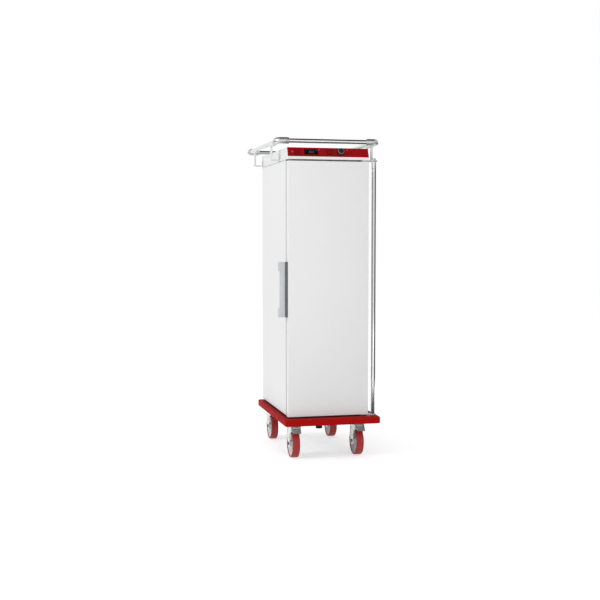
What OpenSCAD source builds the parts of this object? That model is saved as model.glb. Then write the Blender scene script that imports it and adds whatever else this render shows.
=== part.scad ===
// Enclosed, insulated meal tray cart: a tall heated cabinet on a bumpered caster base,
// with a door that folds right back on a pivot tube and a push rail round the top.
// The door faces -Y. Z is 0 on the floor, and X and Y are 0 at the middle of the footprint.

/* [Cabinet] */
// Width of the cabinet and of the door
cab_w = 470; // [440:5:560]
// Depth from the door's front face to the back panel
cab_d = 721; // [680:5:820]
// Height of the cabinet's underside above the floor
body_z = 251; // [248:1:256]
// Height of the cabinet's top sheet above the floor
body_top = 1694; // [1300:2:1800]
// Thickness of the insulated walls
wall = 35; // [28:1:45]
// Thickness of the outer and inner sheet
sheet = 1; // [0.8:0.1:1.5]
// Number of tray levels
levels = 12; // [6:1:13]

/* [Door] */
// Thickness of the door
door_t = 46; // [40:1:55]
// Gap between the door and the cabinet, which the seal fills
seal_gap = 6; // [4:0.5:8]
// Height of the door's lower edge above the floor
door_z = 248; // [246:1:252]
// Gap between the door's upper edge and the control housing
top_gap = 9; // [9:1:14]
// Height of the handle
handle_h = 310; // [200:2:400]
// Height of the handle's middle above the floor
handle_z = 968; // [700:2:1200]

/* [Control housing] */
// Height of the roof above the floor
roof_z = 1762; // [1740:1:1900]
// How far the control panel leans back at its upper edge
lean = 21; // [10:1:30]
// Height of the white lip under the control panel
lip = 15; // [10:1:20]
// Diameter of the temperature knob
knob_d = 40; // [30:1:46]

/* [Base] */
// Height of the bumper's underside above the floor
base_z = 201; // [199:1:203]
// Height of the bumper ring
bumper_h = 40; // [36:1:44]
// Bumper overhang in front of the door
over_front = 50; // [40:1:70]
// Bumper overhang behind the cabinet
over_rear = 27; // [15:1:60]
// Bumper overhang on the left
over_left = 26; // [20:1:60]
// Bumper overhang on the right, which also guards the pivot tube
over_right = 59; // [50:1:70]

/* [Casters] */
// Diameter of the wheels
wheel_d = 160; // [150:1:160]
// Width of the tread
tread_w = 44; // [32:1:44]
// Distance from the swivel axis back to the axle
trail = 32; // [28:1:36]
// Left casters, from the cabinet's middle
caster_left = 181; // [170:1:181]
// Right casters, from the cabinet's middle
caster_right = 196; // [180:1:205]
// Front swivel axes, behind the door's front face
caster_front = 68; // [60:1:80]
// Rear swivel axes, behind the door's front face
caster_rear = 655; // [600:1:660]

/* [Pivot tube] */
// Distance of the pivot axis outside the cabinet's right side
pivot_out = 33; // [30:1:36]
// Distance of the pivot axis behind the door's front face
pivot_in = 14; // [10:1:16]
// Diameter of the pivot tube and of the rail
tube_d = 25; // [22:1:28]

/* [Rail] */
// Height of the rail's axis above the floor
rail_z = 1799; // [1790:1:1850]
// Distance between the two side bars
rail_w = 572; // [560:1:600]
// Front bar, behind the door's front face
rail_front = 24; // [0:1:60]
// Rear bar, behind the door's front face
rail_back = 879; // [850:1:920]
// Diameter of the corner fittings
elbow_d = 37; // [33:1:40]
// Length of a corner fitting's leg, from the corner
elbow_leg = 60; // [58:1:80]

/* [Hidden] */
$fn = 64;
eps = 0.01;
half = cab_w / 2;

// Running clearance of a shaft in its bore, and the gap between bodies that turn past each other
fit = 0.05;
air = 0.3;

// The front of the footprint is the bumper and its back is the rail's rear fittings
foot_y0 = -over_front;
foot_y1 = rail_back + elbow_d / 2;
origin_y = (foot_y0 + foot_y1) / 2;

// Base: the bumper's outer faces, and the chassis inside it
bump_x0 = -half - over_left;
bump_x1 = half + over_right;
bump_y0 = -over_front;
bump_y1 = cab_d + over_rear;
bump_t = 26;
bump_r = 10;
bump_edge = 7;
bump_top = base_z + bumper_h;
flange_t = 5;
chassis_x0 = bump_x0 + bump_t;
chassis_x1 = bump_x1 - bump_t;
chassis_y0 = bump_y0 + bump_t;
chassis_y1 = bump_y1 - bump_t;
chassis_wall = 2.5;
plinth_x = half - 18;
plinth_y0 = 66;
plinth_y1 = cab_d - 18;

// Casters
hub_half = 24;
fork_in = hub_half + 0.5;
fork_out = 28;
flange_out = 31.5;
fold_t = 3.5;
leg_front = -34;
leg_back = 64;
crown_d = 70;
crown_h = 9;
crown_top = base_z - 18.3;
plate_t = 6;
plate_x = 105;
plate_y = 85;
bolt_x = 40;
bolt_y = 30;
axle_d = 12;
axle_z = wheel_d / 2;
rim_r = axle_z - 10;
pedal_y = -24;
pedal_z = crown_top - crown_h - 8;
pedal_pin_d = 6;
pedal_w = 50;
shoe_w = 30;
caster_xy = [
    [-caster_left, caster_front], [caster_right, caster_front],
    [-caster_left, caster_rear], [caster_right, caster_rear]
];

// Cabinet
front_y = door_t + seal_gap;
inner_x = half - wall;
inner_z0 = body_z + wall + 4;
inner_z1 = body_top - wall - 4;
liner_back = cab_d - wall;
board_gap = 0.5;
duct_z = inner_z1 - 60;
duct_y0 = liner_back - 250;

// Tray slides: each pair carries a tray 530 deep and 370 wide
tray_w = 370;
slide_len = 560;
slide_y0 = front_y + 20;
slide_leg = 20;
slide_drop = 14;
slide_t = 1.5;
slide_x = tray_w / 2 + 3;
upright_w = 24;
upright_t = 1.5;
level_z0 = inner_z0 + 40;
level_step = (duct_z - 60 - level_z0) / (levels - 1);

// Door
door_top = body_top + 2 - top_gap;
door_h = door_top - door_z;
handle_x = 17;
grip_x = 24;
block_x = 32;
block_h = 50;
pan_edge = 60;
pan_rise = 4;

// Pivot tube and its bearings
pivot_x = half + pivot_out;
arm_t = 4;
pin_d = 12;
bush_d = 18;
bearing_t = 3;

// Control housing and panel. A place on the panel is given by x and by the way up its slope.
house_z0 = body_top + 2;
panel_z0 = house_z0 + lip;
panel_tilt = atan(lean / (roof_z - panel_z0));
panel_len = norm([lean, roof_z - panel_z0]);
fascia_t = 3;
display_w = 80;
display_h = 33;
display_x = -100;
key_h = 27;
key_w = 30;
left_key_x = -181;
right_key_x = 8;
button_d = 14;
button_x = -208;
mid_s = 28;
knob_x = 69;
lamp_d = 6;
lamp_s = 43;
small_lamp_x = -54;
lamp_x = 110;
knob_h = 22;
spindle_d = 6;
key_travel = 1.5;
cap_proud = 1.8;
board_n = -24;
inlet_x = 150;
inlet_z = roof_z - 34;

// Fan under the ceiling, driven from the control housing
fan_y = liner_back - 110;
shaft_d = 8;
impeller_d = 150;
impeller_z = duct_z + 12;
impeller_h = 34;

// Rail
rail_x = rail_w / 2;
bend_r = 28;
socket = 30;
bracket_t = 8;
bracket_w = 30;
bracket_z = body_top + 9;
saddle_len = 92;
// Side, post position behind the door's face, and which way the saddle points
bracket_at = [[-1, 209, -1], [1, 117, 1], [-1, cab_d - 18, -1], [1, 612, 1]];

// ---- shared shapes ----

function arc(cx, cy, r, a0, a1, n = 6) =
    [for (i = [0:n]) [cx + r * cos(a0 + (a1 - a0) * i / n), cy + r * sin(a0 + (a1 - a0) * i / n)]];

module block(x0, x1, y0, y1, z0, z1) {
    translate([x0, y0, z0]) cube([x1 - x0, y1 - y0, z1 - z0]);
}

module rod(d, z0, z1, hole = 0) {
    translate([0, 0, z0]) difference() {
        cylinder(d = d, h = z1 - z0);
        if (hole > 0) translate([0, 0, -1]) cylinder(d = hole, h = z1 - z0 + 2);
    }
}

// A bar along X of round section
module bar_x(d, x0, x1) {
    translate([x0, 0, 0]) rotate([0, 90, 0]) cylinder(d = d, h = x1 - x0);
}

module rounded_rect(w, h, r) {
    polygon(concat(
        arc(w / 2 - r, h / 2 - r, r, 0, 90), arc(r - w / 2, h / 2 - r, r, 90, 180),
        arc(r - w / 2, r - h / 2, r, 180, 270), arc(w / 2 - r, r - h / 2, r, 270, 360)));
}

// A ring of one section round a rectangle: the section's x runs outward from the outer face
module ring_of(x0, x1, y0, y1, r) {
    translate([(x0 + x1) / 2, (y0 + y1) / 2, 0]) for (i = [0:3]) {
        reach = (i % 2 == 0 ? x1 - x0 : y1 - y0) / 2;
        side = (i % 2 == 0 ? y1 - y0 : x1 - x0) / 2 - r;
        rotate([0, 0, 90 * i]) {
            translate([reach, side, 0]) rotate([90, 0, 0]) linear_extrude(2 * side) children();
            translate([reach - r, side, 0]) rotate_extrude(angle = 90) translate([r, 0]) children();
        }
    }
}

// Everything is drawn from the door's front face and moved to the middle of the footprint
module stand() {
    translate([0, -origin_y, 0]) children();
}

// ---- base ----

// Outer part of the ring's section, rounded along its upper and lower edge
module bumper_section() {
    polygon(concat(
        [[-bump_r, 0]], arc(-bump_edge, bump_edge, bump_edge, -90, 0, 5),
        arc(-bump_edge, bumper_h - bump_edge, bump_edge, 0, 90, 5), [[-bump_r, bumper_h]]));
}

// Moulded ring round the chassis, with a flat shelf that reaches in under the cabinet
module bumper_ring() color("#a01219") stand() difference() {
    union() {
        translate([0, 0, base_z]) ring_of(bump_x0, bump_x1, bump_y0, bump_y1, bump_r) bumper_section();
        block(bump_x0 + bump_r - 1, bump_x1 - bump_r + 1,
            bump_y0 + bump_r - 1, bump_y1 - bump_r + 1, base_z, bump_top);
    }
    block(chassis_x0, chassis_x1, chassis_y0, chassis_y1, base_z - 1, bump_top - flange_t);
    block(-plinth_x - 1, plinth_x + 1, plinth_y0 - 1, plinth_y1 + 1, base_z, bump_top + 1);
    translate([pivot_x, pivot_in, 0]) rod(bush_d + 5, bump_top - 13, bump_top + 1);
}

// Closed sheet-steel box that carries the cabinet, with a plinth that lifts it off the bumper
module chassis() color("#7c8085") stand() difference() {
    union() {
        block(chassis_x0, chassis_x1, chassis_y0, chassis_y1, base_z, bump_top - flange_t);
        block(-plinth_x, plinth_x, plinth_y0, plinth_y1, base_z + 10, body_z);
    }
    block(chassis_x0 + chassis_wall, chassis_x1 - chassis_wall,
        chassis_y0 + chassis_wall, chassis_y1 - chassis_wall,
        base_z + chassis_wall, bump_top - flange_t - chassis_wall);
    block(chassis_wall - plinth_x, plinth_x - chassis_wall,
        plinth_y0 + chassis_wall, plinth_y1 - chassis_wall,
        base_z + chassis_wall, body_z - chassis_wall);
    for (c = caster_xy, sx = [-1, 1], sy = [-1, 1])
        translate([c[0] + sx * bolt_x, c[1] + sy * bolt_y, 0]) rod(8.4, base_z - 1, base_z + 6);
    translate([pivot_x, pivot_in, 0]) rod(bush_d + 5, bump_top - 13, bump_top + 1);
}

// Black screw cap of the condensate drain, below the front of the chassis
module drain_cap() color("#18181a") stand() translate([-48, 30, 0]) {
    rod(36, base_z - 26, base_z - 8);
    rod(28, base_z - 8, base_z);
    for (a = [0:30:330])
        rotate([0, 0, a]) block(17, 19, -2, 2, base_z - 25, base_z - 9);
}

// Four bolted plates, each with its swivel race and the rivet that holds the fork
module caster_plates() color("#b9bcc0") stand() for (c = caster_xy) translate([c[0], c[1], 0]) {
    difference() {
        translate([0, 0, base_z - plate_t]) linear_extrude(plate_t) rounded_rect(plate_x, plate_y, 8);
        for (sx = [-1, 1], sy = [-1, 1])
            translate([sx * bolt_x, sy * bolt_y, 0]) rod(8.4, base_z - plate_t - 1, base_z + 1);
    }
    rod(64, crown_top + air, base_z - plate_t + eps);
    rod(16, crown_top - crown_h - 1, crown_top + 1);
    rod(28, crown_top - crown_h - 5.3, crown_top - crown_h - air);
}

module caster_screws() color("#9da0a4") stand()
    for (c = caster_xy, sx = [-1, 1], sy = [-1, 1])
        translate([c[0] + sx * bolt_x, c[1] + sy * bolt_y, 0]) {
            rod(8, base_z - plate_t - 1, base_z + chassis_wall + 8);
            translate([0, 0, base_z - plate_t - 5.5]) cylinder(d = 15, h = 5.5, $fn = 6);
            translate([0, 0, base_z + chassis_wall]) cylinder(d = 15, h = 6.5, $fn = 6);
        }

// ---- casters ----

module caster_place(i) {
    stand() translate([caster_xy[i][0], caster_xy[i][1], 0]) children();
}

// One leg of the fork, drawn in the wheel's plane with the swivel axis at 0
module fork_leg(braked) {
    difference() {
        union() {
            polygon([
                [leg_front, crown_top], [46, crown_top], [leg_back - 4, crown_top - 10],
                [leg_back, crown_top - 24], [leg_back, axle_z + 20], [trail + 20, axle_z - 8],
                [trail - 21, axle_z - 4], [trail - 18, axle_z + 34],
                [pedal_y + 10, pedal_z - 14], [leg_front, pedal_z - 9]
            ]);
            translate([trail, axle_z]) circle(r = 22);
        }
        translate([trail, axle_z]) circle(d = axle_d);
        if (braked) translate([pedal_y, pedal_z]) circle(d = pedal_pin_d + 2 * fit);
    }
}

// The edges of a leg, folded outward at the front and at the back
module leg_flanges() {
    polygon([
        [pedal_y + 10, pedal_z - 14], [trail - 18, axle_z + 34],
        [trail - 18 + fold_t, axle_z + 34], [pedal_y + 10 + fold_t, pedal_z - 14]
    ]);
    polygon([
        [leg_back, axle_z + 22], [leg_back, crown_top - 24], [leg_back - 4, crown_top - 10],
        [leg_back - 4 - fold_t, crown_top - 10], [leg_back - fold_t, crown_top - 24],
        [leg_back - fold_t, axle_z + 22]
    ]);
}

// Pressed fork: a crown that turns on the rivet and a flanged leg on each side of the wheel
module fork(i) color("#c3c6ca") caster_place(i) difference() {
    union() {
        rod(crown_d, crown_top - crown_h, crown_top);
        block(-fork_out, fork_out, leg_front + 12, 46, crown_top - crown_h, crown_top);
        for (side = [0, 1]) mirror([side, 0, 0]) rotate([90, 0, 90]) {
            translate([0, 0, fork_in]) linear_extrude(fork_out - fork_in) fork_leg(i < 2);
            translate([0, 0, fork_in]) linear_extrude(flange_out - fork_in) leg_flanges();
        }
    }
    rod(16 + 2 * fit, crown_top - crown_h - 1, crown_top + 1);
}

module wheel_place(i) {
    caster_place(i) translate([0, trail, axle_z]) rotate([0, 90, 0]) children();
}

// Polyurethane tread bonded on the rim
module tyre(i) color("#96141c") wheel_place(i) rotate_extrude($fn = 96)
    polygon(concat(
        [[rim_r, -tread_w / 2]], arc(axle_z - 5, 5 - tread_w / 2, 5, -90, 0, 4),
        arc(axle_z - 5, tread_w / 2 - 5, 5, 0, 90, 4), [[rim_r, tread_w / 2]]));

// Cast wheel centre: rim, dished web with five lightening recesses, and the long hub
module wheel(i) color("#c9c7c2") wheel_place(i) difference() {
    rotate_extrude($fn = 96) polygon([
        [axle_d / 2 + fit, -hub_half], [18, -hub_half], [20, -10], [50, -7], [60, -17], [rim_r, -18],
        [rim_r, 18], [60, 17], [50, 7], [20, 10], [18, hub_half], [axle_d / 2 + fit, hub_half]
    ]);
    for (a = [0:72:288])
        rotate([0, 0, a]) translate([35, 0, -12]) cylinder(d = 14, h = 24);
}

module axle(i) color("#55575b") wheel_place(i) {
    translate([0, 0, -fork_out]) cylinder(d = axle_d, h = 2 * fork_out);
    translate([0, 0, -fork_out - 5]) cylinder(d = 20, h = 5, $fn = 6);
    translate([0, 0, fork_out]) cylinder(d = 20, h = 5, $fn = 6);
    translate([0, 0, fork_out + 5]) cylinder(d = axle_d, h = 2);
}

// A flat piece w wide, drawn in the wheel's plane
module across(w) {
    rotate([90, 0, 90]) translate([0, 0, -w / 2]) linear_extrude(w) children();
}

// Foot pedal of the brake: two arms on a pin through the fork, a tread plate for the foot,
// and the shoe, which stops just short of the wheel
module brake_pedal(i) color("#8b8e92") caster_place(i) translate([0, pedal_y, pedal_z]) {
    bar_x(pedal_pin_d, -fork_out - 2, fork_out + 2);
    bar_x(11, 1 - fork_in, fork_in - 1);
    for (side = [-1, 1])
        translate([side * (fork_in - 2.5), 0, 0]) across(3)
            polygon([
                [16, -5], [14, 1], [2, 5.2], [-4, 6], [-14, 12], [-29, 15], [-36, -14], [-32, -14.5],
                [-14, -7], [-2, -5]
            ]);
    across(pedal_w) polygon([[-30, 17], [-37, -15], [-33, -15], [-26.5, 16]]);
    across(shoe_w) polygon([[3, -3], [6, -16], [5, -20.7], [-3, -22], [-4, -19], [-3, -3]]);
}

module fork_front_left() fork(0);
module fork_front_right() fork(1);
module fork_rear_left() fork(2);
module fork_rear_right() fork(3);
module tyre_front_left() tyre(0);
module tyre_front_right() tyre(1);
module tyre_rear_left() tyre(2);
module tyre_rear_right() tyre(3);
module wheel_front_left() wheel(0);
module wheel_front_right() wheel(1);
module wheel_rear_left() wheel(2);
module wheel_rear_right() wheel(3);
module axle_front_left() axle(0);
module axle_front_right() axle(1);
module axle_rear_left() axle(2);
module axle_rear_right() axle(3);
module brake_pedal_left() brake_pedal(0);
module brake_pedal_right() brake_pedal(1);

// ---- cabinet ----

module fan_hole() {
    translate([0, fan_y, 0]) rod(shaft_d + 8, inner_z1 - 10, house_z0 + 10);
}

// Painted sleeve of sheet: two sides, top and bottom
module outer_wrap() color("#eceef0") stand() difference() {
    block(-half, half, front_y + sheet, cab_d - sheet, body_z, body_top);
    block(sheet - half, half - sheet, front_y, cab_d, body_z + sheet, body_top - sheet);
    fan_hole();
}

// Back panel with a folded rim that closes the sleeve
module back_panel() color("#e4e6e8") stand() difference() {
    block(-half, half, cab_d - sheet, cab_d, body_z, body_top);
    for (x = [-60:12:60])
        block(x - 2, x + 2, cab_d - sheet - 1, cab_d + 1, body_top - 28, body_top - 12);
}

// Stainless surround that the seal closes against
module front_frame() color("#c9ccd0") stand() difference() {
    block(-half, half, front_y, front_y + sheet, body_z, body_top);
    block(-inner_x, inner_x, front_y - 1, front_y + sheet + 1, inner_z0, inner_z1);
}

// Five foam boards between the outer sheet and the liner
module insulation_boards() color("#e8d9a0") stand() {
    y0 = front_y + sheet;
    y1 = cab_d - sheet;
    side = inner_x + sheet;
    difference() {
        union() {
            for (s = [-1, 1])
                translate([s * (half - sheet + side + board_gap) / 2, 0, 0])
                    block(-(half - sheet - side - board_gap) / 2, (half - sheet - side - board_gap) / 2,
                        y0, y1, body_z + sheet, body_top - sheet);
            block(-side, side, y0, y1, body_z + sheet, inner_z0 - sheet);
            block(-side, side, y0, y1, inner_z1 + sheet, body_top - sheet);
            block(-side, side, liner_back + sheet, y1,
                inner_z0 - sheet + board_gap, inner_z1 + sheet - board_gap);
        }
        fan_hole();
    }
}

// Stainless inner box, open at the front
module inner_liner() color("#b8bcc1") stand() difference() {
    block(-inner_x - sheet, inner_x + sheet, front_y + sheet, liner_back + sheet,
        inner_z0 - sheet, inner_z1 + sheet);
    block(-inner_x, inner_x, front_y, liner_back, inner_z0, inner_z1);
    fan_hole();
}

// Six channel posts, slotted at each level for the tongues of the tray slides
module slide_uprights() color("#a9adb2") stand()
    for (side = [0, 1], y = [slide_y0 + 40, slide_y0 + slide_len / 2, slide_y0 + slide_len - 40])
        mirror([side, 0, 0]) translate([slide_x + 2, y, 0]) difference() {
            block(0, inner_x - slide_x - 2, -upright_w / 2, upright_w / 2, inner_z0, duct_z - 10);
            block(upright_t, inner_x, upright_t - upright_w / 2, upright_w / 2 - upright_t,
                inner_z0 - 1, duct_z);
            for (i = [0:levels - 1])
                translate([0, 0, level_z0 + i * level_step]) block(-1, upright_t + 1, -4, 4, 8, 20);
        }

// Pressed angle slides, one pair a level
module tray_slides() color("#c2c6ca") stand()
    for (i = [0:levels - 1], s = [0, 1]) translate([0, 0, level_z0 + i * level_step]) mirror([s, 0, 0]) {
        block(slide_x - slide_leg, slide_x + 2, slide_y0, slide_y0 + slide_len, -slide_t, 0);
        block(slide_x + 2 - slide_t, slide_x + 2, slide_y0, slide_y0 + slide_len, -slide_drop, 0);
    }

// ---- control housing ----

// Places its children on the sloping panel, x across and s up the slope, with z outward
module on_panel(x, s) {
    translate([x, s * sin(panel_tilt), panel_z0 + s * cos(panel_tilt)])
        rotate([90 - panel_tilt, 0, 0]) children();
}

// Side view of the casing, with the seat of the panel set back by the panel's thickness
module housing_side() {
    back = fascia_t * cos(panel_tilt);
    drop = fascia_t * sin(panel_tilt);
    polygon([
        [0, house_z0], [0, panel_z0], [back, panel_z0 - drop], [lean + back, roof_z - drop],
        [lean, roof_z], [cab_d, roof_z], [cab_d, house_z0]
    ]);
}

module along_x(w) {
    translate([-w / 2, 0, 0]) rotate([90, 0, 90]) linear_extrude(w) children();
}

// Painted casing on the cabinet's roof: it overhangs the door and leans back at the front
module control_housing() color("#eceef0") stand() difference() {
    union() {
        along_x(cab_w) housing_side();
        block(6 - half, half - 6, front_y + 6, cab_d - 6, body_top, house_z0 + sheet);
    }
    block(sheet - half, half - sheet, sheet, cab_d - sheet, house_z0 + sheet, roof_z - sheet);
    block(12 - half, half - 12, front_y + 12, cab_d - 12, body_top - 1, house_z0 + 5);
    block(inlet_x - 25, inlet_x + 25, cab_d - 9, cab_d + 1, inlet_z - 14, inlet_z + 14);
}

// Red sheet-metal front of the controls, with the openings for the display, keys and knob
module control_fascia() color("#9e1720") stand() difference() {
    on_panel(0, 0) block(0.5 - half, half - 0.5, 0, panel_len, -fascia_t, 0);
    on_panel(display_x, mid_s) block(-display_w / 2, display_w / 2, -display_h / 2, display_h / 2, -4, 1);
    for (x = [left_key_x, right_key_x])
        on_panel(x, mid_s) block(-key_w / 2, key_w / 2, -key_h / 2, key_h / 2, -4, 1);
    for (x = [small_lamp_x, lamp_x])
        on_panel(x, lamp_s) rod(lamp_d, -4, 1);
    on_panel(button_x, mid_s) rod(button_d, -4, 1);
    on_panel(knob_x, mid_s) rod(spindle_d + 2, -4, 1);
}

// Smoked window over the digits, with a step behind the fascia
module display_window() color("#101214") stand() on_panel(display_x, mid_s) {
    block(-display_w / 2, display_w / 2, -display_h / 2, display_h / 2, -fascia_t, 0.6);
    block(-display_w / 2 - 2, display_w / 2 + 2,
        -display_h / 2 - 2, display_h / 2 + 2, -fascia_t - 2, -fascia_t);
}

// Board behind the panel with the display, the key switches and its four spacers
module circuit_board() color("#2d5b3a") stand() on_panel(-85, mid_s) {
    block(-138, 130, -18, 18, board_n, board_n + 1.6);
    block(-55, 25, -14, 14, board_n + 1.6, -fascia_t - 2);
    for (x = [left_key_x + 85, right_key_x + 85, button_x + 85])
        block(x - 4, x + 4, -4, 4, board_n + 1.6, board_n + 8);
}

// A cap that slides square to the panel, with a collar behind and a stem down to its switch
module push_key(w, h) {
    gap = 0.4;
    block(gap - w / 2, w / 2 - gap, gap - h / 2, h / 2 - gap, -fascia_t - 2, cap_proud);
    block(-w / 2 - 1.2, w / 2 + 1.2, -h / 2 - 1.2, h / 2 + 1.2, -fascia_t - 2, -fascia_t - air);
    rod(5, board_n + 8 + key_travel + air, -fascia_t - 1.8);
}

module left_key() color("#7c1018") stand() on_panel(left_key_x, mid_s) push_key(key_w, key_h);
module right_key() color("#7c1018") stand() on_panel(right_key_x, mid_s) push_key(key_w, key_h);

module power_button() color("#d8c9c6") stand() on_panel(button_x, mid_s) {
    rod(button_d - 0.8, -fascia_t - 2, cap_proud);
    rod(button_d + 2, -fascia_t - 2, -fascia_t - air);
    rod(5, board_n + 8 + key_travel + air, -fascia_t - 1.8);
}

// Domed lamp lenses: a small one by the display and one above the knob
module indicator_lamps() color("#d8d2c8") stand() for (x = [small_lamp_x, lamp_x]) on_panel(x, lamp_s) {
    rod(lamp_d, -fascia_t - 3, 0.8);
    rod(lamp_d - 2, 0.7, 1.6);
    rod(lamp_d + 1.5, -fascia_t - 3, -fascia_t);
}

// Knob with a skirt, a grip of twelve flutes, a pointer line and its spindle
module temperature_knob() color("#2b2d30") stand() on_panel(knob_x, mid_s) {
    difference() {
        union() {
            rod(knob_d, 1, 6);
            rod(knob_d - 6, 6, knob_h - 1);
            rod(knob_d - 9, knob_h - 1.1, knob_h);
        }
        for (a = [15:30:345])
            rotate([0, 0, a]) translate([knob_d / 2 - 1, 0, 6]) cylinder(d = 6, h = knob_h);
        block(-1, 1, 6, knob_d, knob_h - 1.5, knob_h + 1);
    }
    rod(spindle_d, -30, 1.5);
}

module thermostat() color("#8a8d91") stand() on_panel(knob_x, mid_s) difference() {
    union() {
        block(-19, 19, -17, 17, -34, -8);
        rod(11, -9, -fascia_t);
    }
    rod(spindle_d + 2 * fit, -31, 1);
}

// ---- heating ----

module fan_motor() color("#6e7277") stand() translate([0, fan_y, 0]) difference() {
    union() {
        rod(86, house_z0 + 6, roof_z - 12);
        rod(120, body_top + eps, house_z0 + 6);
    }
    rod(shaft_d + 2 * fit, body_top - 1, roof_z - 20);
}

// Radial impeller with its hub and shaft in one piece
module fan_impeller() color("#b4b8bd") stand() translate([0, fan_y, 0]) {
    rod(shaft_d, impeller_z, roof_z - 24);
    rod(30, impeller_z, impeller_z + impeller_h);
    rod(impeller_d, impeller_z + impeller_h - 2, impeller_z + impeller_h);
    for (a = [0:30:330])
        rotate([0, 0, a]) block(14, impeller_d / 2 - 1, -1, 1, impeller_z, impeller_z + impeller_h - 1);
}

// Tubular element: two hoops round the impeller, joined by a riser, with two tails
module heating_element() color("#8c5a3c") stand() translate([0, fan_y, 0]) {
    for (z = [impeller_z + 8, impeller_z + 24])
        translate([0, 0, z]) rotate_extrude() translate([impeller_d / 2 + 14, 0]) circle(d = 8);
    for (x = [-20, 20])
        translate([x, impeller_d / 2 + 12, 0]) rod(8, impeller_z + 8, inner_z1 - 0.2);
}

// Folded cover that makes the air duct under the ceiling, with an intake and side outlets
module air_duct() color("#aeb2b7") stand() difference() {
    block(1 - inner_x, inner_x - 1, duct_y0, liner_back - 1, duct_z, inner_z1 - 0.2);
    block(3 - inner_x, inner_x - 3, duct_y0 + 2, liner_back, duct_z + 2, inner_z1 + 1);
    translate([0, fan_y, 0]) rod(110, duct_z - 1, duct_z + 3);
    for (x = [-150:50:150])
        block(x - 18, x + 18, duct_y0 - 1, duct_y0 + 3, duct_z + 14, inner_z1 - 14);
}

// Appliance inlet in the back of the control housing
module power_inlet() color("#1b1c1e") stand() translate([inlet_x, 0, inlet_z]) difference() {
    union() {
        block(-24.6, 24.6, cab_d - 24, cab_d, -13.6, 13.6);
        block(-32, 32, cab_d, cab_d + 3, -18, 18);
    }
    block(-12, 12, cab_d - 16, cab_d + 4, -8, 8);
}

// ---- door ----

// Painted outer pan
module door_skin() color("#eef0f2") stand() difference() {
    block(-half, half, 0, door_t, door_z, door_top);
    block(sheet - half, half - sheet, sheet, door_t + 1, door_z + sheet, door_top - sheet);
}

// The door's filling, up to the raised field of its inner pan
module door_core(inset, y0, y1) {
    block(pan_edge + inset - half, half - pan_edge - inset, y0, y1,
        door_z + pan_edge + inset, door_top - pan_edge - inset);
}

// Stainless inner pan with a pressed field that stands into the opening
module door_inner_pan() color("#c9ccd0") stand() difference() {
    union() {
        block(sheet - half, half - sheet, door_t - sheet, door_t, door_z + sheet, door_top - sheet);
        door_core(0, door_t - sheet, door_t + pan_rise);
    }
    door_core(sheet, door_t - sheet - 1, door_t + pan_rise - sheet);
}

module door_insulation() color("#e8d9a0") stand() {
    block(sheet - half, half - sheet, sheet, door_t - sheet, door_z + sheet, door_top - sheet);
    door_core(sheet, door_t - sheet - eps, door_t + pan_rise - sheet);
}

// Magnetic seal round the door opening
module door_gasket() color("#3a3c3f") stand() translate([0, door_t, 0]) rotate([-90, 0, 0])
    translate([0, -door_z - door_h / 2, 0])
        ring_of(20 - half, half - 20, 22 - door_h / 2, door_h / 2 - 22, 20)
            polygon([[-18, 0], [0, 0], [0, 2], [-2, seal_gap - air], [-16, seal_gap - air], [-18, 2]]);

// Dark rail of the handle, screwed to the door's left edge
module handle_base() color("#5c5f63") stand() difference() {
    block(-half - handle_x, -half, 2, door_t - 6, handle_z - handle_h / 2, handle_z + handle_h / 2);
    for (z = [-1, 1])
        translate([0, door_t / 2, handle_z + z * (handle_h / 2 - 24)])
            bar_x(5.4, -half - handle_x - 1, -half + 1);
}

module grip_section(reach) {
    x0 = -half - handle_x;
    polygon(concat(
        [[x0, 4]], arc(x0 - reach + 8, 12, 8, 270, 180, 5),
        [[x0 - reach, door_t - 10], [x0 - reach + 5, door_t - 7]],
        [[x0 - 6, door_t - 20], [x0, door_t - 20]]));
}

// Light grip with a block at each end and a hollow behind for the fingers
module handle_grip() color("#c3c6c8") stand() {
    translate([0, 0, handle_z - handle_h / 2 + 2]) linear_extrude(handle_h - 4) grip_section(grip_x);
    for (s = [-1, 1])
        translate([0, 0, handle_z + s * (handle_h / 2 - block_h / 2) - block_h / 2])
            linear_extrude(block_h) grip_section(block_x);
}

module handle_screws() color("#9da0a4") stand() for (z = [-1, 1])
    translate([0, door_t / 2, handle_z + z * (handle_h / 2 - 24)]) {
        bar_x(5, -half - handle_x + 3, -half);
        bar_x(5.4, -half - handle_x + 0.5, -half - handle_x + 3);
    }

// ---- pivot ----

module pivot_place() {
    stand() translate([pivot_x, pivot_in, 0]) children();
}

// Upright tube beside the door, with a plug and pin at each end
module pivot_tube() color("#c8ccd0") pivot_place() {
    rod(tube_d, bump_top + bearing_t + air, door_top + arm_t, tube_d - 4);
    rod(tube_d - 4, bump_top + bearing_t + air, bump_top + 20);
    rod(tube_d - 4, door_top - 16, door_top + arm_t);
    rod(pin_d, bump_top - 9, bump_top + 10);
    rod(pin_d, door_top - 6, house_z0 + 8);
}

// Flat arms above and below the door that carry it on the tube
module hinge_arms() color("#b9bdc2") stand() for (z = [door_z - arm_t + air, door_top]) difference() {
    union() {
        block(half - 45, pivot_x, 5, 27, z, z + arm_t - (z < door_z ? air : 0));
        translate([pivot_x, pivot_in, 0]) rod(tube_d + 11, z, z + arm_t - (z < door_z ? air : 0));
    }
    translate([pivot_x, pivot_in, 0]) rod(tube_d, z - 1, z + arm_t + 1);
}

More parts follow.
